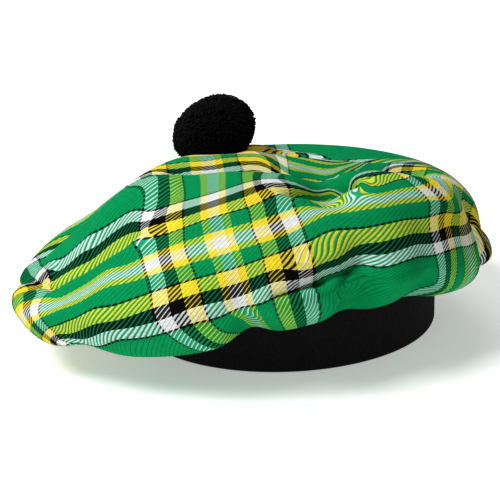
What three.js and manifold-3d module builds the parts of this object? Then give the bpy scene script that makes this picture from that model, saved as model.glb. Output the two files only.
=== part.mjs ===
import * as THREE from "three";
import { ParametricGeometry } from "three/addons/geometries/ParametricGeometry.js";
import Module from "manifold-3d";

// Tam o' shanter: a floppy tartan crown gathered into a black ribbed headband, with a black
// yarn pompom on top. Millimetres, +Z up. Every table is written about the headband's axis,
// with the wearer's front toward -Y, and the hat is centred on the floor at the end.

// Headband: a knitted ring that stands on its hem.
const BAND_RADIUS = 84.5;
const BAND_WALL = 3;
const BAND_HEIGHT = 41;
const BAND_BULGE = 0.4;
const HEM_ROUND = 0.9;
const BAND_FACETS = 72;

// Crown cloth.
const CLOTH = 2;
const PIECE_GAP = 0.3;
const SEAM_REACH = BAND_RADIUS + BAND_BULGE + PIECE_GAP;
const SEAM_HEIGHT = 36.5;
const COLUMNS = 88;
const ROWS = 21;
const APEX = new THREE.Vector3(-36, 8, 102);

// One row per section round the hat. Azimuth runs from +X through +Y; each station gives its
// reach from the headband's axis and its height above the floor.
const SECTIONS = [
  { azimuth: 0, shoulder: [84, 86], face: [104, 71], rim: [117, 38], belly: [109, 34] },
  { azimuth: 30, shoulder: [80, 82], face: [106, 67], rim: [121, 46], belly: [108, 34] },
  { azimuth: 60, shoulder: [76, 81], face: [108, 68], rim: [128, 49], belly: [109, 34] },
  { azimuth: 90, shoulder: [76, 78], face: [110, 67], rim: [132, 49], belly: [110, 33] },
  { azimuth: 120, shoulder: [78, 77], face: [114, 62], rim: [137, 44], belly: [114, 28] },
  { azimuth: 150, shoulder: [82, 77], face: [117, 54], rim: [145, 34], belly: [123, 21] },
  { azimuth: 180, shoulder: [80, 86], face: [104, 69], rim: [152, 28], belly: [127, 19] },
  { azimuth: 210, shoulder: [86, 99], face: [127, 68], rim: [162, 39], belly: [143, 17] },
  { azimuth: 240, shoulder: [70, 103], face: [122, 80], rim: [147, 51], belly: [119, 20] },
  { azimuth: 270, shoulder: [60, 102], face: [108, 88], rim: [137, 60], belly: [103, 32] },
  { azimuth: 300, shoulder: [66, 103], face: [107, 92], rim: [128, 60], belly: [99, 36] },
  { azimuth: 330, shoulder: [88, 96], face: [109, 83], rim: [121, 46], belly: [111, 34] },
];

// Folds: each row is a crease line in space near the cloth. The cloth sinks by its depth and
// the dent fades away over its width.
const FOLDS = [
  { fold: "pompom dimple", from: [-36, 8, 102], to: [-36, 8, 102], depth: 8, width: 26 },
  { fold: "groove behind the left ridge", from: [-104, -38, 76], to: [-54, -38, 100], depth: 6, width: 10 },
  { fold: "groove behind the front ridge", from: [-54, -38, 101], to: [70, -36, 99], depth: 12, width: 10 },
  { fold: "pinch in the front ridge", from: [17, -42, 98], to: [23, -80, 98], depth: 9, width: 13 },
  { fold: "hollow beside the pompom", from: [10, 0, 95], to: [44, 0, 95], depth: 9, width: 18 },
  { fold: "groove before the back hump", from: [0, 28, 91], to: [66, 26, 86], depth: 4, width: 9 },
  { fold: "front crease", from: [-6, -137, 63], to: [37, -116, 73], depth: 6, width: 8 },
  { fold: "left groove", from: [-140, -52, 52], to: [-92, -78, 82], depth: 5, width: 11 },
  { fold: "right end crease", from: [104, -52, 80], to: [112, -46, 40], depth: 3, width: 9 },
  { fold: "right end dent", from: [112, -20, 55], to: [112, 15, 52], depth: 5, width: 10 },
  { fold: "left slope dent", from: [-118, 5, 56], to: [-145, -15, 34], depth: 5, width: 12 },
  { fold: "raised left ridge", from: [-98, -55, 85], to: [-65, -55, 102], depth: -4, width: 13 },
];

// Gathers: tucks that run up from the seam, each with its spread in degrees and its depth.
const GATHERS = [
  { azimuth: 14, spread: 6, depth: 7 },
  { azimuth: 40, spread: 7, depth: 8 },
  { azimuth: 66, spread: 6, depth: 7 },
  { azimuth: 92, spread: 7, depth: 8 },
  { azimuth: 118, spread: 6, depth: 8 },
  { azimuth: 143, spread: 7, depth: 8 },
  { azimuth: 170, spread: 6, depth: 7 },
  { azimuth: 196, spread: 6, depth: 6 },
  { azimuth: 221, spread: 6, depth: 6 },
  { azimuth: 260, spread: 5, depth: 11 },
  { azimuth: 288, spread: 5, depth: 13 },
  { azimuth: 308, spread: 5, depth: 8 },
  { azimuth: 338, spread: 6, depth: 7 },
];
const GATHER_START = 0.58;
const GATHER_FULL = 0.84;
const FOLDS_END = 0.9;
const NORMAL_STEP = 0.004;

// Pompom: a round head with yarn locks fused on, leaning to +X and flattened where it sits.
const POMPOM_RADIUS = 23.2;
const POMPOM_LEAN = 0.22;
const POMPOM_SUNK = 9;
const SEAT_CURVE = 31;
const HEAD_RADIUS = 18.6;
const LOCK_COUNT = 38;
const LOCK_SIDES = 6;
const LOCK_ROOT = 4;
const LOCK_SHOULDER = 4.6;
const LOCK_TIP = 2.6;
const LOCK_SHOULDER_AT = 21.2;
const LOCK_SPREAD = 0.9;

const TARTAN_GREEN = 0x1f8a45;
const BAND_BLACK = 0x101113;
const YARN_BLACK = 0x0b0b0d;

const polar = (azimuth, [reach, height]) => {
  const angle = THREE.MathUtils.degToRad(azimuth);
  return new THREE.Vector3(reach * Math.cos(angle), reach * Math.sin(angle), height);
};

// A closed ring through one station of every section.
const ring = (station) => {
  const points = SECTIONS.map((row) => polar(row.azimuth, row[station]));
  return new THREE.CatmullRomCurve3(points, true, "centripetal");
};
const SHOULDER_RING = ring("shoulder");
const FACE_RING = ring("face");
const RIM_RING = ring("rim");
const BELLY_RING = ring("belly");

const sections = new Map();
const sectionAt = (turn) => {
  const key = turn.toFixed(7);
  if (!sections.has(key)) {
    const stations = [
      APEX,
      SHOULDER_RING.getPoint(turn),
      FACE_RING.getPoint(turn),
      RIM_RING.getPoint(turn),
      BELLY_RING.getPoint(turn),
      polar(turn * 360, [SEAM_REACH, SEAM_HEIGHT]),
    ];
    sections.set(key, new THREE.CatmullRomCurve3(stations, false, "centripetal"));
  }
  return sections.get(key);
};

const wrap = (turn) => turn - Math.floor(turn);
const plain = (turn, along) => sectionAt(wrap(turn)).getPointAt(THREE.MathUtils.clamp(along, 0, 1));

const outward = (turn, along) => {
  if (along < NORMAL_STEP) {
    return new THREE.Vector3(0, 0, 1);
  }
  const round = plain(turn + NORMAL_STEP, along).sub(plain(turn - NORMAL_STEP, along));
  const down = plain(turn, along + NORMAL_STEP).sub(plain(turn, along - NORMAL_STEP));
  return down.cross(round).normalize();
};

const lineOf = (row) => new THREE.Line3(new THREE.Vector3(...row.from), new THREE.Vector3(...row.to));
const creases = FOLDS.map((row) => ({ ...row, line: lineOf(row) }));

const foldDepth = (point) => {
  const nearest = new THREE.Vector3();
  let depth = 0;
  for (const crease of creases) {
    crease.line.closestPointToPoint(point, true, nearest);
    const away = nearest.distanceTo(point) / crease.width;
    depth += crease.depth * Math.exp(-away * away);
  }
  return depth;
};

const gatherDepth = (turn, along) => {
  const rise = THREE.MathUtils.smoothstep(along, GATHER_START, GATHER_FULL);
  const fall = 1 - THREE.MathUtils.smoothstep(along, GATHER_FULL, 1);
  let depth = 0;
  for (const row of GATHERS) {
    const apart = Math.abs(wrap(turn - row.azimuth / 360 + 0.5) - 0.5) * 360;
    depth += row.depth * Math.exp(-((apart / row.spread) ** 2));
  }
  return depth * rise * fall;
};

// The cloth's outer face with its folds and gathers, and its inner face one cloth below it.
const clothAt = (turn, along, inset) => {
  const point = plain(turn, along);
  const normal = outward(turn, along);
  const fade = 1 - THREE.MathUtils.smoothstep(along, FOLDS_END, 1);
  const depth = foldDepth(point) * fade + gatherDepth(turn, along) + inset;
  return point.addScaledVector(normal, -depth);
};

const crownWall = (turn, across, target) => {
  const strips = 2 * ROWS + 1;
  const row = across * strips;
  const outer = row <= ROWS + 0.5;
  const along = outer ? Math.min(row / ROWS, 1) : Math.min((strips - row) / ROWS, 1);
  target.copy(clothAt(turn, along, outer ? 0 : CLOTH));
};

const crownGeometry = () => {
  const wall = (u, v, target) => crownWall(1 - u, v, target);
  return new ParametricGeometry(wall, COLUMNS, 2 * ROWS + 1);
};

const bandGeometry = () => {
  const inner = BAND_RADIUS - BAND_WALL;
  const bulged = BAND_RADIUS + 2 * BAND_BULGE;
  const profile = new THREE.Path();
  profile.moveTo(inner + HEM_ROUND, 0);
  profile.lineTo(BAND_RADIUS - HEM_ROUND, 0);
  profile.quadraticCurveTo(BAND_RADIUS, 0, BAND_RADIUS, HEM_ROUND);
  profile.quadraticCurveTo(bulged, BAND_HEIGHT / 2, BAND_RADIUS, BAND_HEIGHT - HEM_ROUND);
  profile.quadraticCurveTo(BAND_RADIUS, BAND_HEIGHT, BAND_RADIUS - HEM_ROUND, BAND_HEIGHT);
  profile.lineTo(inner + HEM_ROUND, BAND_HEIGHT);
  profile.quadraticCurveTo(inner, BAND_HEIGHT, inner, BAND_HEIGHT - HEM_ROUND);
  profile.lineTo(inner, HEM_ROUND);
  profile.quadraticCurveTo(inner, 0, inner + HEM_ROUND, 0);
  const lathe = new THREE.LatheGeometry(profile.getPoints(2), BAND_FACETS);
  return lathe.rotateX(Math.PI / 2);
};

// Directions spread evenly over a ball, the first one straight down.
const lockDirection = (index) => {
  const height = -1 + (2 * index) / (LOCK_COUNT - 1);
  const reach = Math.sqrt(1 - height * height);
  const angle = index * Math.PI * (3 - Math.sqrt(5));
  return new THREE.Vector3(reach * Math.cos(angle), reach * Math.sin(angle), height);
};

const lockGeometry = (index) => {
  const shorter = LOCK_SPREAD * Math.abs(Math.sin(7.3 * index));
  const profile = [
    new THREE.Vector2(0, HEAD_RADIUS / 2),
    new THREE.Vector2(LOCK_ROOT, HEAD_RADIUS / 2),
    new THREE.Vector2(LOCK_SHOULDER, LOCK_SHOULDER_AT - shorter),
    new THREE.Vector2(LOCK_TIP, POMPOM_RADIUS - shorter),
    new THREE.Vector2(0, POMPOM_RADIUS - shorter),
  ];
  const lock = new THREE.LatheGeometry(profile, LOCK_SIDES);
  const turn = new THREE.Quaternion().setFromUnitVectors(new THREE.Vector3(0, 1, 0), lockDirection(index));
  return lock.applyQuaternion(turn);
};

const wasm = await Module();
wasm.setup();
const { Manifold, Mesh: SolidMesh } = wasm;

const toSolid = (geometry) => {
  const flat = geometry.index ? geometry.toNonIndexed() : geometry;
  const positions = new Float32Array(flat.getAttribute("position").array);
  const corners = Uint32Array.from({ length: positions.length / 3 }, (_, index) => index);
  const mesh = new SolidMesh({ numProp: 3, vertProperties: positions, triVerts: corners });
  mesh.merge();
  return new Manifold(mesh);
};

const fromSolid = (solid) => {
  const mesh = solid.getMesh();
  const geometry = new THREE.BufferGeometry();
  geometry.setAttribute("position", new THREE.BufferAttribute(mesh.vertProperties, 3));
  geometry.setIndex(new THREE.BufferAttribute(mesh.triVerts, 1));
  geometry.computeVertexNormals();
  return geometry;
};

// The pompom's own origin is the middle of its underside, which follows the cloth's dimple.
const pompomGeometry = () => {
  const head = toSolid(new THREE.IcosahedronGeometry(HEAD_RADIUS, 2));
  const locks = Array.from({ length: LOCK_COUNT }, (_, index) => toSolid(lockGeometry(index)));
  const lean = new THREE.Matrix4().makeShear(0, 0, 0, 0, POMPOM_LEAN, 0);
  const rise = new THREE.Matrix4().makeTranslation(0, 0, POMPOM_RADIUS - POMPOM_SUNK);
  const ball = Manifold.union([head, ...locks]).transform(rise.multiply(lean).toArray());
  const seat = new THREE.IcosahedronGeometry(SEAT_CURVE, 6).translate(0, 0, SEAT_CURVE);
  return fromSolid(ball.intersect(toSolid(seat)));
};

const piece = (name, geometry, color, roughness) => {
  const mesh = new THREE.Mesh(geometry, new THREE.MeshStandardMaterial({ color, roughness }));
  mesh.name = name;
  return mesh;
};

const crown = piece("crown", crownGeometry(), TARTAN_GREEN, 0.9);
const headband = piece("headband", bandGeometry(), BAND_BLACK, 0.95);
const pompom = piece("pompom", pompomGeometry(), YARN_BLACK, 1);
const seat = clothAt(0, 0, 0);
pompom.position.set(seat.x, seat.y, seat.z + PIECE_GAP);

const hat = new THREE.Group();
hat.name = "tam_o_shanter";
hat.add(crown, headband, pompom);
hat.updateMatrixWorld(true);
const bounds = new THREE.Box3().setFromObject(hat);
const centre = bounds.getCenter(new THREE.Vector3());
hat.position.set(-centre.x, -centre.y, -bounds.min.z);
hat.updateMatrixWorld(true);

export default hat;
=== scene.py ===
# %% [markdown]
# A tam o' shanter is a soft round bonnet: a tartan crown gathered into a close headband, with a
# woollen pompom on top. This lesson dresses the three plain solids of the hat in cloth, ribbing
# and yarn. The solids come first, because each new piece has to sit where its solid is.

# %% Load the frame and find the headband's axis
import math

import bpy
import numpy as np
from mathutils import Matrix, Vector
from mathutils.bvhtree import BVHTree


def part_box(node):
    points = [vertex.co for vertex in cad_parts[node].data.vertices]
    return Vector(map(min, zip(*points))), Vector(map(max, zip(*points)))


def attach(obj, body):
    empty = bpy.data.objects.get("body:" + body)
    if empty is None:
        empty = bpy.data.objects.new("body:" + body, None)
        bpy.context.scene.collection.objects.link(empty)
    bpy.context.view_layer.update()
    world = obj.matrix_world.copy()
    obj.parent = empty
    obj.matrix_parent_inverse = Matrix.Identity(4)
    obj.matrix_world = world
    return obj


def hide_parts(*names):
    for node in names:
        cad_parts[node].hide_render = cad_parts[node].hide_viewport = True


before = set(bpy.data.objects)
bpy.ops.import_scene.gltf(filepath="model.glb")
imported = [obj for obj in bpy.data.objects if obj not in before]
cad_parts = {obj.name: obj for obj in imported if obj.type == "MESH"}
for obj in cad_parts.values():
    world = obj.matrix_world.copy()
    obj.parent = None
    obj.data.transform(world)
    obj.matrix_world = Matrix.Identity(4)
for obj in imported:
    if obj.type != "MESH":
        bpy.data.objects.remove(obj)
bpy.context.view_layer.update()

MM = 0.001
band_low, band_high = (np.array(corner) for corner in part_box("headband"))
BAND_AXIS = np.array([*(band_low + band_high)[:2] / 2, 0.0])
print("headband axis at", BAND_AXIS.round(4))


def on_hat(points_mm):
    """Millimetres about the headband's axis become metres in the frame."""
    return np.asarray(points_mm, float) * MM + BAND_AXIS


# %% [markdown]
# The picture was taken from slightly above, with a long lens and a small tilt of the camera. The
# camera comes first, because the tartan is later laid on the crown by looking through it.

# %% Camera
CAMERA_AIM = on_hat((-19.0, 0.0, 41.1))
CAMERA_HEIGHT_ANGLE = math.radians(18.85)
CAMERA_ROLL = math.radians(-2.44)
CAMERA_DISTANCE = 1.1
LENS = 140.0
SENSOR = 36.0
PICTURE = 500


def camera_axes():
    """Right, up and forward of the camera as unit vectors."""
    forward = np.array([0, math.cos(CAMERA_HEIGHT_ANGLE), -math.sin(CAMERA_HEIGHT_ANGLE)])
    level_up = np.array([0, math.sin(CAMERA_HEIGHT_ANGLE), math.cos(CAMERA_HEIGHT_ANGLE)])
    level_right = np.array([1.0, 0, 0])
    right = math.cos(CAMERA_ROLL) * level_right + math.sin(CAMERA_ROLL) * level_up
    up = math.cos(CAMERA_ROLL) * level_up - math.sin(CAMERA_ROLL) * level_right
    return right, up, forward


RIGHT, UP, FORWARD = camera_axes()
EYE = CAMERA_AIM - FORWARD * CAMERA_DISTANCE
bpy.ops.object.select_all(action="DESELECT")
bpy.ops.object.camera_add()
camera = bpy.context.object
camera.name = "camera"
camera.data.lens = LENS
camera.data.sensor_width = SENSOR
camera.data.sensor_fit = "HORIZONTAL"
camera_turn = np.array([RIGHT, UP, -FORWARD]).T
camera.matrix_world = Matrix([(*row, place) for row, place in zip(camera_turn, EYE)] + [(0, 0, 0, 1)])
bpy.context.scene.camera = camera
print("camera at", EYE.round(3))


# %% [markdown]
# The crown is one soft sheet. A cloth simulation could drop such a sheet, but it would not fall
# into this hat's own slouch, so the form is drawn instead. Twelve sections round the hat tell it,
# each with a shoulder, a face, a rim and a belly, from the top under the pompom to the seam at the
# headband.

# %% The crown's sections
TOP = np.array([-36.0, 8.0, 103.5])
SEAM_REACH, SEAM_HEIGHT = 85.2, 36.5
CROWN_COLUMNS, CROWN_ROWS = 330, 144
CURVE_STEPS = 40
# azimuth, then reach and height of the shoulder, face, rim and belly, in mm
SECTIONS = np.array([
    (0, 84, 86, 104, 71, 117, 38, 109, 34),
    (30, 80, 82, 106, 67, 121, 46, 108, 34),
    (60, 76, 81, 108, 68, 128, 49, 109, 34),
    (90, 76, 78, 110, 67, 132, 49, 110, 33),
    (120, 78, 77, 114, 62, 137, 44, 114, 28),
    (150, 82, 77, 117, 54, 145, 34, 123, 21),
    (180, 80, 86, 104, 69, 152, 28, 127, 19),
    (210, 86, 99, 127, 68, 162, 39, 145, 16),
    (240, 70, 103, 122, 80, 147, 51, 119, 20),
    (270, 60, 102, 108, 88, 137, 60, 103, 32),
    (300, 66, 103, 107, 92, 128, 60, 99, 36),
    (330, 88, 96, 109, 83, 121, 46, 111, 34),
], float)
SHOULDER, FACE, RIM, BELLY = 1, 3, 5, 7
print(len(SECTIONS), "sections, the widest reaching", SECTIONS[:, RIM].max(), "mm")

# %% [markdown]
# A smooth curve runs through the sections, both round the hat and down each section. A centripetal
# curve is used, because it passes through its points without swinging out between them. Across the
# grid of points goes the turn round the hat, and up the grid goes the way along a section.

# %% A smooth form through the sections
SHORTEST_STEP = 1e-4


def curve_between(p0, p1, p2, p3, w):
    """A point of the centripetal curve from p1 to p2."""
    d0, d1, d2 = (np.maximum(np.linalg.norm(b - a, axis=-1, keepdims=True) ** 0.5, SHORTEST_STEP)
                  for a, b in ((p0, p1), (p1, p2), (p2, p3)))
    leave = ((p1 - p0) / d0 - (p2 - p0) / (d0 + d1) + (p2 - p1) / d1) * d1
    arrive = ((p2 - p1) / d1 - (p3 - p1) / (d1 + d2) + (p3 - p2) / d2) * d1
    w2, w3 = w * w, w * w * w
    first_half = (2 * w3 - 3 * w2 + 1) * p1 + (w3 - 2 * w2 + w) * leave
    return first_half + (3 * w2 - 2 * w3) * p2 + (w3 - w2) * arrive


def round_the_hat(station, turns):
    """The closed curve through one station of every section."""
    azimuth = np.radians(SECTIONS[:, 0])
    reach, height = SECTIONS[:, station], SECTIONS[:, station + 1]
    points = np.stack([reach * np.cos(azimuth), reach * np.sin(azimuth), height], 1)
    count = len(points)
    place = (turns % 1.0) * count
    i = np.floor(place).astype(int) % count
    w = (place - np.floor(place))[:, None]
    before, start, end, after = (points[(i + step) % count] for step in (-1, 0, 1, 2))
    return curve_between(before, start, end, after, w)


def crown_form(turns, alongs):
    """The smooth crown, before its folds, as a grid of points."""
    angle = turns * 2 * np.pi
    stations = [np.repeat(TOP[None], len(turns), 0)]
    stations += [round_the_hat(station, turns) for station in (SHOULDER, FACE, RIM, BELLY)]
    stations.append(np.stack([SEAM_REACH * np.cos(angle), SEAM_REACH * np.sin(angle),
                              np.full(len(turns), SEAM_HEIGHT)], 1))
    stations = [2 * stations[0] - stations[1]] + stations + [2 * stations[-1] - stations[-2]]
    line = [curve_between(*stations[k - 1:k + 3], w)
            for k in range(1, len(stations) - 2) for w in np.arange(CURVE_STEPS) / CURVE_STEPS]
    line = np.stack(line + [stations[-2]], 1)
    steps = np.linalg.norm(np.diff(line, axis=1), axis=2)
    travelled = np.concatenate([np.zeros((len(turns), 1)), np.cumsum(steps, 1)], 1)
    travelled /= travelled[:, -1:]
    return np.stack([np.stack([np.interp(alongs, travelled[c], line[c, :, k]) for k in range(3)], 1)
                     for c in range(len(turns))])


crown_turns = np.arange(CROWN_COLUMNS) / CROWN_COLUMNS
crown_alongs = np.linspace(0, 1, CROWN_ROWS + 1)
crown_grid = crown_form(crown_turns, crown_alongs)
print("crown form", crown_grid.reshape(-1, 3).min(0).round(1), crown_grid.reshape(-1, 3).max(0).round(1))


# %% [markdown]
# The photo shows the crown pushed into folds, because there is more cloth than the head needs: a
# deep groove behind the front ridge, a pinch in that ridge, creases on the front and the left, and
# gathers where the belly is sewn to the band. They could be sculpted by hand, but a table of lines
# gives the same hat each time and can be set against the photo line by line. A soft fold presses
# the cloth in along its line and fades to both sides; a negative depth raises a ridge instead.

# %% The folds, creases and gathers
FOLDS_END = 0.9
GATHER_START, GATHER_FULL = 0.58, 0.84
# start and end of the line, depth and half width, in mm
FOLDS = [
    ((-36, 8, 102), (-36, 8, 102), 8, 19),
    ((-98, -55, 85), (-65, -55, 102), -4, 13),
    ((-104, -38, 76), (-54, -38, 100), 6, 10),
    ((-54, -38, 101), (70, -36, 99), 12, 10),
    ((17, -42, 98), (23, -80, 98), 9, 13),
    ((10, 0, 95), (44, 0, 95), 9, 18),
    ((0, 28, 91), (66, 26, 86), 4, 9),
    ((-140, -52, 52), (-92, -78, 82), 5, 11),
    ((104, -52, 80), (112, -46, 40), 3, 9),
    ((112, -20, 55), (112, 15, 52), 5, 10),
    ((-118, 5, 56), (-145, -15, 34), 9, 13),
]
# sharp creases: start and end of the line, depth and half width, in mm
CREASES = [
    ((-6, -137, 63), (15.7, -130, 68), 8, 4),
    ((15.7, -130, 68), (37, -116, 73), 8, 4),
    ((31, -121, 70), (27, -127, 57), 6, 3.5),
    ((4, -73, 97), (22, -63, 94), 7, 4),
    ((22, -63, 94), (37, -66, 99), 8, 4),
    ((-141, -36, 43), (-124, -75, 55), 6, 6),
    ((-124, -75, 55), (-107, -77, 66), 7, 6),
    ((-107, -77, 66), (-78, -80, 81), 5, 6),
]
# azimuth, spread in degrees, depth in mm
GATHERS = [
    (14, 6, 7), (40, 7, 8), (66, 6, 7), (92, 7, 8), (118, 6, 8), (143, 7, 8), (170, 6, 7),
    (196, 6, 6), (221, 6, 6), (260, 5, 11), (288, 5, 13), (308, 5, 8), (338, 6, 7),
]
print(len(FOLDS), "folds,", len(CREASES), "creases and", len(GATHERS), "gathers")

# %% [markdown]
# Every point moves along its own normal, so a fold goes into the cloth and not just down. The soft
# folds come first. The creases are pressed into that folded cloth, with a sharp bottom, and the
# gathers pull the belly in where it meets the band.

# %% Press the folds into the crown
# a gap above or below the cloth counts this many times less than one along it
OFF_CLOTH = 4
SHORTEST_NORMAL = 1e-9


def ease(x, start, end):
    """0 before start, 1 after end, smooth between."""
    t = np.clip((x - start) / (end - start), 0, 1)
    return t * t * (3 - 2 * t)


def outward(grid):
    """Unit normals of a crown grid, straight up at the top."""
    round_way = np.roll(grid, -1, 0) - np.roll(grid, 1, 0)
    along_way = np.gradient(grid, axis=1)
    normal = np.cross(along_way, round_way)
    normal /= np.maximum(np.linalg.norm(normal, axis=2, keepdims=True), SHORTEST_NORMAL)
    normal[:, 0] = (0, 0, 1)
    return normal


def from_line(grid, start, end):
    """The way to each point from the nearest place on a straight line."""
    start, way = np.array(start, float), np.subtract(end, start).astype(float)
    length2 = way @ way
    t = np.clip((grid - start) @ way / length2, 0, 1) if length2 else np.zeros(grid.shape[:2])
    return grid - start - t[..., None] * way


def distance_on_cloth(grid, normal, start, end):
    """Distance from a line, where a line a little above or below the cloth counts as lying on it."""
    apart = from_line(grid, start, end)
    height = (apart * normal).sum(2)
    return np.hypot(np.linalg.norm(apart - normal * height[..., None], axis=2), height / OFF_CLOTH)


def folded(grid, alongs):
    """The grid with its soft folds pressed in."""
    soft = sum(deep * np.exp(-(np.linalg.norm(from_line(grid, start, end), axis=2) / wide) ** 2)
               for start, end, deep, wide in FOLDS)
    return grid - outward(grid) * (soft * (1 - ease(alongs, FOLDS_END, 1)))[..., None]


def creased(grid, turns, alongs):
    """The grid with its sharp creases and its gathers pressed in."""
    normal = outward(grid)
    sharp = sum(deep * np.exp(-distance_on_cloth(grid, normal, start, end) / wide)
                for start, end, deep, wide in CREASES)
    gather = np.zeros(len(turns))
    for azimuth, spread, deep in GATHERS:
        apart = np.abs((turns - azimuth / 360 + 0.5) % 1 - 0.5) * 360
        gather += deep * np.exp(-(apart / spread) ** 2)
    rise = ease(alongs, GATHER_START, GATHER_FULL) * (1 - ease(alongs, GATHER_FULL, 1))
    depth = sharp * (1 - ease(alongs, FOLDS_END, 1)) + gather[:, None] * rise
    return grid - normal * depth[..., None]


folded_grid = folded(crown_grid, crown_alongs)
crown_grid = creased(folded_grid, crown_turns, crown_alongs)
print("deepest move", np.linalg.norm(crown_grid - folded_grid, axis=2).max().round(1), "mm after the folds")


# %% [markdown]
# Blender's own Grid is a sheet of even squares, the right start for cloth. It is bent round until
# its two upright edges meet, and the doubled points are merged there and at the top. Merging
# renumbers the points, so each one carries the number of its grid point until that is done.

# %% Bend a grid into the crown
MERGE_DISTANCE = 1e-6


def grid_piece(name, grid, closed_section=False):
    """A new mesh grid bent into a ring of columns, and the grid point that each vertex took."""
    columns, rows = grid.shape[0], grid.shape[1] - (0 if closed_section else 1)
    bpy.ops.object.select_all(action="DESELECT")
    bpy.ops.mesh.primitive_grid_add(x_subdivisions=columns, y_subdivisions=rows, size=1)
    piece = bpy.context.object
    piece.name = piece.data.name = name
    mesh = piece.data
    flat = np.empty(len(mesh.vertices) * 3)
    mesh.vertices.foreach_get("co", flat)
    flat = flat.reshape(-1, 3) + 0.5
    column = np.round(flat[:, 0] * columns).astype(int) % columns
    row = np.round(flat[:, 1] * rows).astype(int) % grid.shape[1]
    mesh.vertices.foreach_set("co", on_hat(grid[column, row]).ravel())
    mark = mesh.attributes.new("grid_point", "INT", "POINT")
    mark.data.foreach_set("value", (column * grid.shape[1] + row).astype(np.int32))
    bpy.ops.object.mode_set(mode="EDIT")
    bpy.ops.mesh.select_all(action="SELECT")
    bpy.ops.mesh.remove_doubles(threshold=MERGE_DISTANCE)
    bpy.ops.mesh.normals_make_consistent(inside=False)
    bpy.ops.object.mode_set(mode="OBJECT")
    bpy.ops.object.shade_smooth()
    took = np.empty(len(mesh.vertices), np.int32)
    mesh.attributes["grid_point"].data.foreach_get("value", took)
    mesh.attributes.remove(mesh.attributes["grid_point"])
    return piece, took


crown, crown_took = grid_piece("crown_tartan", crown_grid)
print("crown:", len(crown.data.vertices), "points,", len(crown.data.polygons), "faces")


# %% [markdown]
# The stripes have to lie as they do on woven cloth, so every point of the crown needs its place on
# the flat sheet. An unwrap could give it, but a round crown has a shorter way: the distance walked
# from the top along a section is the distance from the middle of the sheet. The softly folded form
# is walked, because the sharp creases would make the stripes wiggle.

# %% Iron the crown flat
REPEAT = 152.0
WHITE_AT, YELLOW_AT = 37.1, 22.6
FAR_WHITE, FAR_YELLOW = REPEAT - WHITE_AT, REPEAT - YELLOW_AT


def ironed(grid, turns):
    """The flat place of every grid point: as far from the middle as the walk from the top is long."""
    steps = np.linalg.norm(np.diff(grid, axis=1), axis=2)
    walked = np.concatenate([np.zeros((len(turns), 1)), np.cumsum(steps, 1)], 1) / REPEAT
    to_rim = round_the_hat(RIM, turns) - TOP
    heading = np.arctan2(to_rim[:, 1], to_rim[:, 0])
    return np.stack([walked * np.cos(heading)[:, None], -walked * np.sin(heading)[:, None]], 2)


crown_flat = ironed(folded_grid, crown_turns).reshape(-1, 2)[crown_took]
print("flat sheet spans", (np.ptp(crown_flat, axis=0) * REPEAT).round(), "mm")


# %% [markdown]
# Where a stripe can be followed in the photo, its place on the cloth is known. This list names such
# places by column and row in the picture and by warp and weft on the cloth. Along a single stripe
# only one of the two is known, and the other is None.

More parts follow.
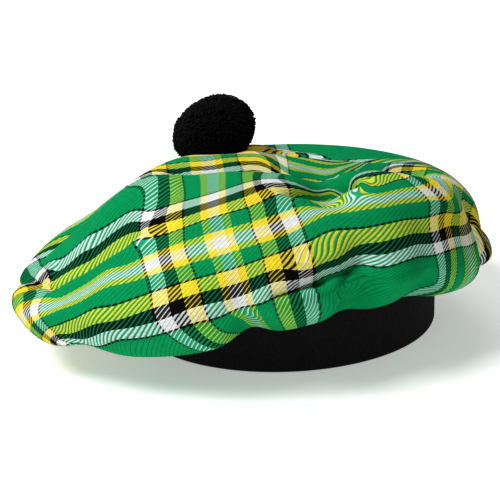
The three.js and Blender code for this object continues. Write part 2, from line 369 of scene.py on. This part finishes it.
# %% The stripes' known places
# picture column and row, then warp and weft place on the cloth in mm
CROSSINGS = [
    (221, 243, 0, 0), (179, 255, -YELLOW_AT, 0), (152, 264, -WHITE_AT, 0),
    (263, 231, YELLOW_AT, 0), (291, 222, WHITE_AT, 0),
    (142, 233, -WHITE_AT, -YELLOW_AT), (175, 226, -YELLOW_AT, -YELLOW_AT), (213, 212, 0, -YELLOW_AT),
    (253, 199, YELLOW_AT, -YELLOW_AT), (281, 191, WHITE_AT, -YELLOW_AT),
    (148, 217, -WHITE_AT, -WHITE_AT), (175, 208, -YELLOW_AT, -WHITE_AT), (213, 197, 0, -WHITE_AT),
    (249, 185, YELLOW_AT, -WHITE_AT), (266, 181, WHITE_AT, -WHITE_AT),
    (161, 297, -WHITE_AT, YELLOW_AT), (190, 289, -YELLOW_AT, YELLOW_AT), (232, 277, 0, YELLOW_AT),
    (272, 263, YELLOW_AT, YELLOW_AT), (302, 255, WHITE_AT, YELLOW_AT),
    (168, 324, -WHITE_AT, WHITE_AT), (197, 314, -YELLOW_AT, WHITE_AT), (240, 303, 0, WHITE_AT),
    (279, 289, YELLOW_AT, WHITE_AT),
    (34, 309, -FAR_WHITE, 0), (43, 293, -FAR_WHITE, -13), (43, 327, -FAR_WHITE, 14),
    (50, 333, -FAR_WHITE, YELLOW_AT), (60, 343, -FAR_WHITE, WHITE_AT),
    (20, 291, -FAR_YELLOW, -YELLOW_AT), (46, 341, -FAR_YELLOW, YELLOW_AT),
    (427, 192, FAR_WHITE, 0), (434, 223, FAR_WHITE, YELLOW_AT), (439, 247, FAR_WHITE, WHITE_AT),
    (413, 181, FAR_WHITE, -14), (403, 174, FAR_WHITE, -YELLOW_AT),
    (447, 219, FAR_YELLOW, YELLOW_AT), (443, 191, FAR_YELLOW, 0), (452, 243, FAR_YELLOW, WHITE_AT),
    (443, 270, FAR_WHITE, 55), (455, 265, FAR_YELLOW, 55),
    (464, 217, REPEAT, YELLOW_AT), (466, 241, REPEAT, WHITE_AT), (472, 270, REPEAT, 60),
    (477, 239, REPEAT + YELLOW_AT, WHITE_AT), (476, 214, REPEAT + YELLOW_AT, YELLOW_AT),
    (190, 174, -8, -FAR_WHITE), (200, 164, -4, -FAR_YELLOW), (247, 159, YELLOW_AT, -FAR_YELLOW),
    (262, 168, YELLOW_AT, -FAR_WHITE), (187, 155, -YELLOW_AT, -149),
    (290, 153, WHITE_AT, -REPEAT - YELLOW_AT), (283, 162, WHITE_AT, -REPEAT), (310, 170, 62, -REPEAT),
    (330, 172, None, -REPEAT), (316, 161.5, None, -REPEAT - YELLOW_AT),
    (350, 162, None, -REPEAT - YELLOW_AT),
    (312, 181, None, -FAR_YELLOW), (335, 178, None, -FAR_WHITE), (355, 170.5, None, -FAR_WHITE),
    (330, 150, 70, -215), (365, 151, 80, -215), (400, 158, 95, -215),
    (340, 186, None, -76), (318, 187, None, -60),
    (318, 198, None, -13), (335, 196, None, -11.5), (322, 204, None, -5), (340, 200, None, -5),
    (302, 280.5, None, 33.3), (318, 275.3, None, 33.3), (334, 269, None, 33.3), (348, 262.3, None, 33.3),
    (303, 284, None, 42), (319, 278.8, None, 42), (335, 272.5, None, 42), (349, 265.8, None, 42),
    (150, 350, None, 51), (200, 340, None, 54), (255, 318, None, 48), (285, 322, None, 57),
    (313, 318, None, 61), (308, 297, None, 50), (350, 290, None, 55), (400, 285, None, 58),
    (149, 174, None, -FAR_WHITE), (163, 167, None, -FAR_YELLOW),
    (100, 237, None, -WHITE_AT), (80, 248, None, -WHITE_AT),
    (60, 266, None, -WHITE_AT), (40, 273, None, -WHITE_AT),
    (120, 247, None, -YELLOW_AT), (95, 264, None, -YELLOW_AT), (70, 277, None, -YELLOW_AT),
    (45, 285, None, -YELLOW_AT),
    (110, 277, None, 0), (90, 289, None, 0), (70, 299, None, 0), (50, 306, None, 0),
    (120, 267, None, -7.6), (90, 282, None, -7.6), (60, 298, None, -7.6),
    (120, 285, None, 7.6), (90, 296, None, 7.6), (60, 309, None, 7.6),
    (110, 314, None, YELLOW_AT), (80, 324, None, YELLOW_AT), (62, 330, None, YELLOW_AT),
    (115, 334, None, WHITE_AT), (98, 341, None, WHITE_AT),
    (330, 209, None, 0), (350, 204, None, 0), (370, 200, None, 0),
    (390, 197, None, 0), (410, 194.5, None, 0),
    (330, 245, None, YELLOW_AT), (350, 240, None, YELLOW_AT), (370, 235, None, YELLOW_AT),
    (390, 231, None, YELLOW_AT), (410, 227, None, YELLOW_AT), (370, 261, None, WHITE_AT),
    (390, 259, None, WHITE_AT), (410, 253, None, WHITE_AT), (425, 249, None, WHITE_AT),
    (352, 187, None, -YELLOW_AT), (370, 183, None, -YELLOW_AT), (385, 179, None, -YELLOW_AT),
    (352, 180, None, -WHITE_AT), (370, 171.5, None, -WHITE_AT), (385, 168, None, -WHITE_AT),
    (152, 195, -WHITE_AT, None), (177, 197, -YELLOW_AT, None), (213, 187, 0, None),
    (283, 205, WHITE_AT, None), (296, 237, WHITE_AT, None), (258, 213, YELLOW_AT, None),
    (268, 245, YELLOW_AT, None), (148, 243, -WHITE_AT, None), (158, 280, -WHITE_AT, None),
    (217, 225, 0, None), (228, 262, 0, None), (236, 290, 0, None), (310, 300, WHITE_AT, None),
    (312, 315, WHITE_AT, None), (437, 207, FAR_WHITE, None), (452, 205, FAR_YELLOW, None),
    (440, 285, FAR_WHITE, None), (425, 291, FAR_WHITE, None), (453, 277, FAR_YELLOW, None),
]
print(len(CROSSINGS), "known places on the stripes")

# %% [markdown]
# A ray from the camera's eye through each picture place meets the crown, which pairs the ironed
# place there with the wanted one. The checked block in the middle of the front is seen best, so it
# alone sets the turn, size and shift of the whole cloth.

# %% Turn the cloth to the front block
# the first rows of the list are the front block
FRONT_BLOCK = 24
NEAREST = 1e-7


def through_picture(column, row):
    """The direction from the eye through a place in the picture."""
    pixels = LENS / SENSOR * PICTURE
    way = FORWARD + RIGHT * (column - PICTURE / 2) / pixels - UP * (row - PICTURE / 2) / pixels
    return Vector(way).normalized()


def seen_places(piece, places, crossings):
    """For each crossing that the eye can see: its flat place, and its wanted warp and weft."""
    mesh = piece.data
    tree = BVHTree.FromObject(piece, bpy.context.evaluated_depsgraph_get())
    found, wanted = [], []
    for column, row, warp, weft in crossings:
        hit, _, face, _ = tree.ray_cast(Vector(EYE), through_picture(column, row))
        if hit is None:
            print("no cloth at", column, row)
            continue
        corners = np.array([mesh.vertices[v].co for v in mesh.polygons[face].vertices])
        nearness = 1 / np.maximum(np.linalg.norm(corners - np.array(hit), axis=1), NEAREST)
        found.append(nearness @ places[list(mesh.polygons[face].vertices)] / nearness.sum())
        wanted.append([np.nan if value is None else value / REPEAT for value in (warp, weft)])
    return np.array(found), np.array(wanted)


def turned_and_scaled(source, target):
    """The turn, size and shift that bring source nearest to target."""
    middle, goal = source.mean(0), target.mean(0)
    left, sizes, right = np.linalg.svd((source - middle).T @ (target - goal))
    size = sizes.sum() / ((source - middle) ** 2).sum()
    return size * left @ right, goal - middle @ (size * left @ right)


crossing_flat, crossing_cloth = seen_places(crown, crown_flat, CROSSINGS)
turn, shift = turned_and_scaled(crossing_flat[:FRONT_BLOCK], crossing_cloth[:FRONT_BLOCK])
left_over = crossing_cloth - (crossing_flat @ turn + shift)
print("front block off by", (np.sqrt(np.nanmean(left_over[:FRONT_BLOCK] ** 2)) * REPEAT).round(2), "mm")


# %% [markdown]
# What is still off after that turn is eased away by a smooth sheet bent through the differences.
# A sheet that levels out away from its known places is used, because the back of the hat has none
# and its stripes must not swirl there.

# %% Ease the stripes into place
# how far the sheet may miss a known place, and how round it bends over one, in repeats
EASING = 0.001
PEG_WIDTH = 0.06


def bent_sheet(points, values):
    """A smooth function through scattered values that stays level away from them."""
    def bend(apart):
        return -np.sqrt(apart ** 2 + PEG_WIDTH ** 2)

    count = len(points)
    pegs = bend(np.linalg.norm(points[:, None] - points[None], axis=2)) + EASING * np.eye(count)
    level = np.ones((count, 1))
    system = np.block([[pegs, level], [level.T, np.zeros((1, 1))]])
    weights = np.linalg.solve(system, np.r_[values, 0])

    def height(at):
        return bend(np.linalg.norm(at[:, None] - points[None], axis=2)) @ weights[:count] + weights[count]

    return height


def eased(places):
    """Flat places become warp and weft places, nearly right at the known places."""
    cloth = places @ turn + shift
    for axis in (0, 1):
        known = ~np.isnan(left_over[:, axis])
        cloth[:, axis] += bent_sheet(crossing_flat[known], left_over[known, axis])(places)
    return cloth


crown_cloth = eased(crown_flat)
mesh = crown.data
corner_vertex = np.empty(len(mesh.loops), np.int32)
mesh.loops.foreach_get("vertex_index", corner_vertex)
mesh.uv_layers.active.name = "cloth"
mesh.uv_layers["cloth"].uv.foreach_set("vector", crown_cloth[corner_vertex].astype(np.float32).ravel())
still_off = np.sqrt(np.nanmean((crossing_cloth - eased(crossing_flat)) ** 2)) * REPEAT
print("all known places now off by", still_off.round(2), "mm")


# %% [markdown]
# Materials are trees of small nodes. A few helpers make a node, give it values and link it in one
# line each, so that a tree reads from top to bottom. They serve the cloth, the knit and the yarn.

# %% Helpers for materials
def feed(tree, node, inputs):
    """Give a node's sockets their values, or link them."""
    for socket, value in inputs.items():
        if isinstance(value, bpy.types.NodeSocket):
            tree.links.new(value, node.inputs[socket])
        else:
            node.inputs[socket].default_value = value


def add_node(tree, kind, inputs=None, **settings):
    """A new shader node with its settings, values and links."""
    node = tree.nodes.new(kind)
    for key, value in settings.items():
        setattr(node, key, value)
    feed(tree, node, inputs or {})
    return node


def calc(tree, operation, *values):
    """The output of a Math node."""
    return add_node(tree, "ShaderNodeMath", dict(enumerate(values)), operation=operation).outputs[0]


def mapped(tree, value, low, high, new_low, new_high):
    """The output of a Map Range node."""
    inputs = {0: value, 1: low, 2: high, 3: new_low, 4: new_high}
    return add_node(tree, "ShaderNodeMapRange", inputs).outputs[0]


def mixed(tree, factor, first, second, blend_type="MIX"):
    """The output of a colour Mix node."""
    inputs = {0: factor, 6: first, 7: second}
    return add_node(tree, "ShaderNodeMix", inputs, data_type="RGBA", blend_type=blend_type).outputs[2]


def new_material(name):
    """An empty node material with its Principled shader."""
    material = bpy.data.materials.new(name)
    material.use_nodes = True
    return material, material.node_tree, material.node_tree.nodes["Principled BSDF"]


# %% [markdown]
# Tartan is the same row of coloured yarns in the warp and in the weft, mirrored at two pivots. In a
# two-and-two twill each yarn passes over two and under two, one step further on in each row, which
# gives the slanting lines where two colours meet. A picture of the cloth would blur close up, so
# the shader works it out from the flat places: it picks the warp's and the weft's colours, then
# asks which of the two lies on top.

# %% Colours and order of the yarns
YARNS = {
    "green": (0.004, 0.30, 0.105, 1),
    "yellow": (0.86, 0.70, 0.050, 1),
    "white": (0.80, 0.82, 0.81, 1),
    "black": (0.006, 0.006, 0.007, 1),
}
# a stripe's yarn and where it ends, in mm from the middle of the checked block
SETT = [
    ("white", 3.5), ("yellow", 7.6), ("green", 17.3), ("black", 18.6), ("yellow", 26.6),
    ("black", 33.3), ("white", 40.9), ("black", 42.2), ("green", REPEAT / 2),
]
WARP_YARNS, WEFT_YARNS = 172, 244
FLOAT_LENGTH = 4
# middle and half width of each slanting line, in a float; the weft's line is the fuller one, and the shadow
# band is a painted shadow line in the gap between the warp's and the weft's lines
WARP_BAND, WEFT_BAND, SHADOW_BAND = (0.17, 0.115), (0.65, 0.245), (0.35, 0.07)
BAND_EDGE = 0.03
SHADOW_TONE = 0.38
# how far a yarn takes on the colour of the yarns that cross it
BLEED = 0.16
# the square root of two colours' product lies between them and is darker than their average; it colours the
# gaps between yarns, painted shade there
BETWEEN = 0.5
YARN_SHADES = (0.86, 1.08)
# from this far from a yarn's middle, in yarn widths, out to its edge, the yarn is painted darker: painted
# shade on its rounded sides
YARN_CORE, EDGE_SHADE = 0.25, 0.7
RELIEF, RELIEF_DEPTH = 0.4, 0.0003
print("tartan of", WARP_YARNS, "by", WEFT_YARNS, "yarns to a repeat of", REPEAT, "mm")

# %% [markdown]
# Each colour comes from a ramp that is folded back at the pivots. The slanting lines come from adding the
# warp's and the weft's yarn numbers: the fraction of that sum says which yarn is on top.
# The gaps between floats and the edges of the yarns are painted darker, as painted shade, and a thin
# painted shadow line runs in the gap between the warp's and the weft's lines.

# %% Tartan cloth

def stripe_colour(tree, place):
    """The yarn colour at a warp or weft place, given in repeats."""
    from_pivot = calc(tree, "MULTIPLY", calc(tree, "PINGPONG", place, 0.5), 2.0)
    ramp = add_node(tree, "ShaderNodeValToRGB", {0: from_pivot})
    ramp.color_ramp.interpolation = "CONSTANT"
    elements = ramp.color_ramp.elements
    while len(elements) > 1:
        elements.remove(elements[-1])
    start = 0.0
    for index, (yarn, end) in enumerate(SETT):
        element = elements[0] if index == 0 else elements.new(start)
        element.position = start
        element.color = YARNS[yarn]
        start = end / (REPEAT / 2)
    return ramp.outputs["Color"]


def yarn_shade(tree, yarn_number):
    """A small difference in brightness from yarn to yarn."""
    noise = add_node(tree, "ShaderNodeTexWhiteNoise", {"W": yarn_number}, noise_dimensions="1D")
    return mapped(tree, noise.outputs["Value"], 0.0, 1.0, *YARN_SHADES)


def slanting_band(tree, slant, middle, half):
    """1 on a slanting line, 0 beside it: where a yarn lies on top, or where the painted shadow line runs in
    the gap.
    """
    away = calc(tree, "ABSOLUTE", calc(tree, "SUBTRACT", slant, middle))
    return mapped(tree, away, half - BAND_EDGE, half + BAND_EDGE, 1.0, 0.0)


def yarn_edge_shade(tree, yarns):
    """1 along the middle of a yarn, a little less at its edges: painted shade on the yarn's rounded sides.
    """
    away = calc(tree, "ABSOLUTE", calc(tree, "SUBTRACT", calc(tree, "FRACT", yarns), 0.5))
    return mapped(tree, away, YARN_CORE, 0.5, 1.0, EDGE_SHADE)


def tartan_cloth():
    """Two-and-two twill in the sett's colours, laid by the piece's own flat places."""
    material, tree, shader = new_material("tartan_cloth")
    places = add_node(tree, "ShaderNodeUVMap", uv_map="cloth")
    split = add_node(tree, "ShaderNodeSeparateXYZ", {0: places.outputs[0]})
    warp, weft = split.outputs[0], split.outputs[1]
    warp_yarns = calc(tree, "MULTIPLY", warp, WARP_YARNS)
    weft_yarns = calc(tree, "MULTIPLY", weft, WEFT_YARNS)
    warp_number, weft_number = calc(tree, "FLOOR", warp_yarns), calc(tree, "FLOOR", weft_yarns)
    yarn_sum = calc(tree, "ADD", warp_yarns, weft_yarns)
    slant = calc(tree, "FRACT", calc(tree, "DIVIDE", yarn_sum, FLOAT_LENGTH))
    warp_on_top = slanting_band(tree, slant, *WARP_BAND)
    weft_on_top = slanting_band(tree, slant, *WEFT_BAND)
    warp_colour = mixed(tree, 1.0, stripe_colour(tree, warp), yarn_shade(tree, warp_number), "MULTIPLY")
    weft_colour = mixed(tree, 1.0, stripe_colour(tree, weft), yarn_shade(tree, weft_number), "MULTIPLY")
    both = mixed(tree, 1.0, weft_colour, warp_colour, "MULTIPLY")
    # the gaps take the two colours' geometric mean, darker than their average: painted shade between the
    # yarns
    shared = add_node(tree, "ShaderNodeGamma", {0: both, 1: BETWEEN}).outputs[0]
    # painted shadow: a thin slanting line in the gap is darker still
    shadow = mixed(tree, 1.0, shared, (SHADOW_TONE, SHADOW_TONE, SHADOW_TONE, 1), "MULTIPLY")
    shaded_gap_colour = mixed(tree, slanting_band(tree, slant, *SHADOW_BAND), shared, shadow)
    # the floats are painted darker towards each yarn's edges, painted shade where the round yarns turn away
    warp_edge_shade, weft_edge_shade = (yarn_edge_shade(tree, yarns) for yarns in (warp_yarns, weft_yarns))
    weft_shows = calc(tree, "MULTIPLY", weft_on_top, weft_edge_shade)
    warp_shows = calc(tree, "MULTIPLY", warp_on_top, warp_edge_shade)
    colour = mixed(tree, weft_shows, shaded_gap_colour, mixed(tree, BLEED, weft_colour, shared))
    colour = mixed(tree, warp_shows, colour, mixed(tree, BLEED, warp_colour, shared))
    height = calc(tree, "ADD", warp_shows, weft_shows)
    bump = add_node(tree, "ShaderNodeBump",
                    {"Strength": RELIEF, "Distance": RELIEF_DEPTH, "Height": height})
    feed(tree, shader, {"Base Color": colour, "Normal": bump.outputs[0],
                        "Roughness": 0.85, "Specular IOR Level": 0.03})
    return material


crown.data.materials.append(tartan_cloth())
print("crown wears", crown.data.materials[0].name)

# %% [markdown]
# Cloth has two sides and an edge. A second layer could be modelled, but Solidify gives the sheet its
# two millimetres inwards by itself, so that the side that shows stays where it was laid.

# %% Thickness of the cloth
CLOTH = 2.0
thickness = crown.modifiers.new("cloth", "SOLIDIFY")
thickness.thickness = CLOTH * MM
thickness.offset = -1
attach(crown, "root")
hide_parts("crown")

# %% [markdown]
# The headband is a firm knitted band with fine upright ribs and rounded edges. Bump alone would
# leave its edge smooth, so the ribs are real: its section is a closed loop, up the outside and down
# the inside, and every rib is a small wave in the reach of that loop.

# %% Headband
BAND_REACH, BAND_WALL, BAND_TALL, BAND_BULGE = 84.5, 3.0, 41.0, 0.4
RIBS, COLUMNS_IN_RIB, RIB_DEPTH = 340, 4, 0.22
SIDE_ROWS, EDGE_ROWS = 9, 3


def band_section():
    """Reach, height and outward part of the ribs, up the outside and down the inside."""
    round_edge = np.linspace(0, np.pi, EDGE_ROWS + 2)[1:-1]
    radius = BAND_WALL / 2
    up = np.linspace(radius, BAND_TALL - radius, SIDE_ROWS)
    middle = BAND_REACH - radius
    swell = BAND_BULGE * np.sin(np.pi * up / BAND_TALL)
    outside = np.stack([middle + radius + swell, up, np.ones(SIDE_ROWS)], 1)
    over = np.stack([middle + radius * np.cos(round_edge), BAND_TALL - radius + radius * np.sin(round_edge),
                     np.cos(round_edge)], 1)
    inside = np.stack([middle - radius + swell[::-1], up[::-1], -np.ones(SIDE_ROWS)], 1)
    under = np.stack([middle - radius * np.cos(round_edge), radius - radius * np.sin(round_edge),
                      -np.cos(round_edge)], 1)
    return np.concatenate([outside, over, inside, under])


def band_grid():
    """The ribbed band as a ring of sections."""
    columns = RIBS * COLUMNS_IN_RIB
    angle = np.arange(columns) / columns * 2 * np.pi
    reach, height, side = band_section().T
    rib = -RIB_DEPTH * (0.5 - 0.5 * np.cos(angle * RIBS))
    spread = reach[None] + rib[:, None] * side[None]
    return np.stack([spread * np.cos(angle)[:, None], spread * np.sin(angle)[:, None],
                     np.repeat(height[None], columns, 0)], 2)


headband, _ = grid_piece("headband_ribbed", band_grid(), closed_section=True)
print("headband:", len(headband.data.polygons), "faces in", RIBS, "ribs")


# %% [markdown]
# Black wool is never one flat black. A little noise makes it lighter here and there, and a fine
# wave across the ribs stands for the rows of the knit.

# %% Black wool
MOTTLE_SPAN = (0.3, 0.7)


def mottled_black(tree, scale, detail, darkest, lightest):
    """A near black that is a little lighter here and there."""
    place = add_node(tree, "ShaderNodeTexCoord").outputs["Object"]
    mottle = add_node(tree, "ShaderNodeTexNoise", {"Vector": place, "Scale": scale, "Detail": detail})
    return mapped(tree, mottle.outputs[0], *MOTTLE_SPAN, darkest, lightest)


def ribbed_wool():
    """Near black knitted wool: soft, with a faint mottle and a fine crosswise grain."""
    material, tree, shader = new_material("ribbed_wool")
    colour = mottled_black(tree, scale=900.0, detail=4.0, darkest=0.003, lightest=0.012)
    place = add_node(tree, "ShaderNodeTexCoord").outputs["Object"]
    rows = add_node(tree, "ShaderNodeTexWave", {"Vector": place, "Scale": 420.0, "Distortion": 1.2},
                    bands_direction="Z")
    bump = add_node(tree, "ShaderNodeBump",
                    {"Strength": 0.5, "Distance": 0.0002, "Height": rows.outputs["Fac"]})
    feed(tree, shader, {"Base Color": colour, "Normal": bump.outputs[0], "Roughness": 0.8,
                        "Specular IOR Level": 0.2, "Sheen Weight": 0.02})
    return material


headband.data.materials.append(ribbed_wool())
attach(headband, "root")
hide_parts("headband")
print("headband wears", headband.data.materials[0].name)

# %% [markdown]
# A pompom is a great many short yarns tied at the middle and clipped round. Hair particles could
# make it, but plain meshes keep the clipped outline and export as they are. A dark core keeps light
# from shining through, and every yarn is a thin bent prism from inside the core to the outside.

# %% The pompom's form
POMPOM_SEED = 11
YARN_COUNT = 5200
YARN_RADIUS = 0.62
YARN_TAPER = (0.8, 1.0, 0.75)
YARN_RINGS, YARN_SIDES = len(YARN_TAPER), 3
# shares of the way from the middle to the outside where a yarn starts and where its tip may be
YARN_ROOT, YARN_TIPS = 0.62, (0.93, 1.0)
YARN_SCATTER, YARN_DRIFT = 0.03, 0.11
pompom_low, pompom_high = (np.array(corner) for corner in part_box("pompom"))
POMPOM_MIDDLE = ((pompom_low + pompom_high) / 2 - BAND_AXIS) / MM
POMPOM_HALF = (pompom_high - pompom_low) / 2 / MM
# below 2 the form is more pointed than a ball, above 2 more like a box
BOXY_TOP, BOXY_FOOT, FOOT_BLEND = 1.8, 2.8, 0.4
LEAN = 0.2
SINK = 1.2
CORE_SHARE = 0.84


def pompom_point(ways, share):
    """A point at a share of the way to the pompom's clipped outside."""
    boxy = BOXY_TOP + (BOXY_FOOT - BOXY_TOP) * ease(-ways[:, 2], -FOOT_BLEND, FOOT_BLEND)
    reach = (np.abs(ways) ** boxy[:, None]).sum(1) ** (-1 / boxy)
    points = ways * reach[:, None] * share[:, None] * POMPOM_HALF
    points[:, 0] += LEAN * points[:, 2]
    points[:, 2] -= SINK
    return points + POMPOM_MIDDLE


def spread_ways(count):
    """Directions spread evenly over a ball."""
    k = np.arange(count) + 0.5
    height, angle = 1 - 2 * k / count, np.pi * (1 + 5 ** 0.5) * k
    level = np.sqrt(1 - height ** 2)
    return np.stack([level * np.cos(angle), level * np.sin(angle), height], 1)


def yarn_mesh():
    """Points and faces of all the yarns."""
    chance = np.random.default_rng(POMPOM_SEED)
    ways = spread_ways(YARN_COUNT) + chance.normal(0, YARN_SCATTER, (YARN_COUNT, 3))
    ways /= np.linalg.norm(ways, axis=1, keepdims=True)
    drift = chance.normal(0, YARN_DRIFT, (YARN_COUNT, 3))
    tip = chance.uniform(*YARN_TIPS, YARN_COUNT)
    side = np.cross(ways, chance.normal(0, 1, (YARN_COUNT, 3)))
    side /= np.linalg.norm(side, axis=1, keepdims=True)
    cross = np.cross(ways, side)
    rings = []
    for ring in range(YARN_RINGS):
        part = ring / (YARN_RINGS - 1)
        bent = ways + drift * part ** 2
        bent /= np.linalg.norm(bent, axis=1, keepdims=True)
        middle = pompom_point(bent, YARN_ROOT + (tip - YARN_ROOT) * part)
        thick = YARN_RADIUS * YARN_TAPER[ring]
        for s in range(YARN_SIDES):
            angle = 2 * np.pi * s / YARN_SIDES
            rings.append(middle + thick * (side * math.cos(angle) + cross * math.sin(angle)))
    points = np.stack(rings, 1)
    sides = [(r * YARN_SIDES + s, r * YARN_SIDES + (s + 1) % YARN_SIDES,
              (r + 1) * YARN_SIDES + (s + 1) % YARN_SIDES, (r + 1) * YARN_SIDES + s)
             for r in range(YARN_RINGS - 1) for s in range(YARN_SIDES)]
    last = (YARN_RINGS - 1) * YARN_SIDES
    caps = [(2, 1, 0), (last, last + 1, last + 2)]
    offset = np.arange(YARN_COUNT) * YARN_RINGS * YARN_SIDES
    faces = [tuple(int(o + v) for v in face) for o in offset for face in sides + caps]
    return points.reshape(-1, 3), faces


print("pompom", (2 * POMPOM_HALF).round(1), "mm")

# %% [markdown]
# There are thousands of yarns, so they are made as one mesh from arrays. An Ico Sphere takes the
# same form for the core, a little smaller, and the two are joined.

# %% Core and yarns
bpy.ops.object.select_all(action="DESELECT")
bpy.ops.mesh.primitive_ico_sphere_add(subdivisions=4, radius=1)
core = bpy.context.object
core_ways = np.array([v.co for v in core.data.vertices])
core_ways /= np.linalg.norm(core_ways, axis=1, keepdims=True)
core_points = pompom_point(core_ways, np.full(len(core_ways), CORE_SHARE))
core.data.vertices.foreach_set("co", on_hat(core_points).ravel())
bpy.ops.object.shade_smooth()
yarn_points, yarn_faces = yarn_mesh()
yarns = bpy.data.meshes.new("pompom_yarns")
yarns.from_pydata([tuple(p) for p in on_hat(yarn_points)], [], yarn_faces)
pompom = bpy.data.objects.new("pompom_yarns", yarns)
bpy.context.collection.objects.link(pompom)
pompom.select_set(True)
bpy.context.view_layer.objects.active = pompom
bpy.ops.object.join()
bpy.ops.object.shade_smooth()
print("pompom:", len(pompom.data.polygons), "faces in", YARN_COUNT, "yarns")


def pompom_yarn():
    """Black woollen yarn with a soft sheen."""
    material, tree, shader = new_material("pompom_yarn")
    colour = mottled_black(tree, scale=700.0, detail=3.0, darkest=0.003, lightest=0.009)
    feed(tree, shader, {"Base Color": colour, "Roughness": 0.85,
                        "Specular IOR Level": 0.1, "Sheen Weight": 0.02})
    return material


pompom.data.materials.clear()
pompom.data.materials.append(pompom_yarn())
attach(pompom, "root")
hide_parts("pompom")

# %% [markdown]
# The hat stands on a plain pale floor under soft studio light: a wide lamp up on the left, a faint
# one on the right, one behind for the far edge, and a pale surround that fills the shadows. The
# floor glows a little by itself, which keeps it near white.

# %% Floor and light
WHITE_LIGHT = (1, 1, 1, 1)
FLOOR_GLOW, SURROUND = 0.35, 0.14
HAT_MIDDLE = (0, 0, 0.06)
# name, place, size in metres and power in watts
LAMPS = [
    ("key", (-0.75, -0.45, 1.25), 0.7, 19),
    ("fill", (0.9, -1.1, 0.7), 0.9, 0.3),
    ("back", (0.1, 1.1, 1.2), 0.9, 6),
]
bpy.ops.object.select_all(action="DESELECT")
bpy.ops.mesh.primitive_plane_add(size=8)
floor = bpy.context.object
floor.name = "floor"
floor_material, floor_tree, floor_shader = new_material("pale_floor")
feed(floor_tree, floor_shader, {"Base Color": (0.9, 0.9, 0.9, 1), "Roughness": 0.9,
                                "Specular IOR Level": 0.1, "Emission Color": WHITE_LIGHT,
                                "Emission Strength": FLOOR_GLOW})
floor.data.materials.append(floor_material)


def lamp(name, place, aim, size, power):
    """A square lamp that looks at a place."""
    bpy.ops.object.light_add(type="AREA", location=place)
    light = bpy.context.object
    light.name = name
    light.data.size = size
    light.data.energy = power
    light.rotation_euler = (Vector(aim) - Vector(place)).to_track_quat("-Z", "Y").to_euler()


for lamp_name, lamp_place, lamp_size, lamp_power in LAMPS:
    lamp(lamp_name, lamp_place, HAT_MIDDLE, lamp_size, lamp_power)
world = bpy.data.worlds.new("studio")
world.use_nodes = True
feed(world.node_tree, world.node_tree.nodes["Background"], {"Color": WHITE_LIGHT, "Strength": SURROUND})
bpy.context.scene.world = world
bpy.context.scene.view_settings.view_transform = "Standard"
bpy.context.scene.view_settings.look = "Medium High Contrast"

# %% [markdown]
# Blender may open with a cube, a lamp and a camera of its own, and these go.

# %% Blender's own leftovers, and the end
for leftover in ("Cube", "Light", "Camera"):
    if leftover in bpy.data.objects:
        bpy.data.objects.remove(bpy.data.objects[leftover])
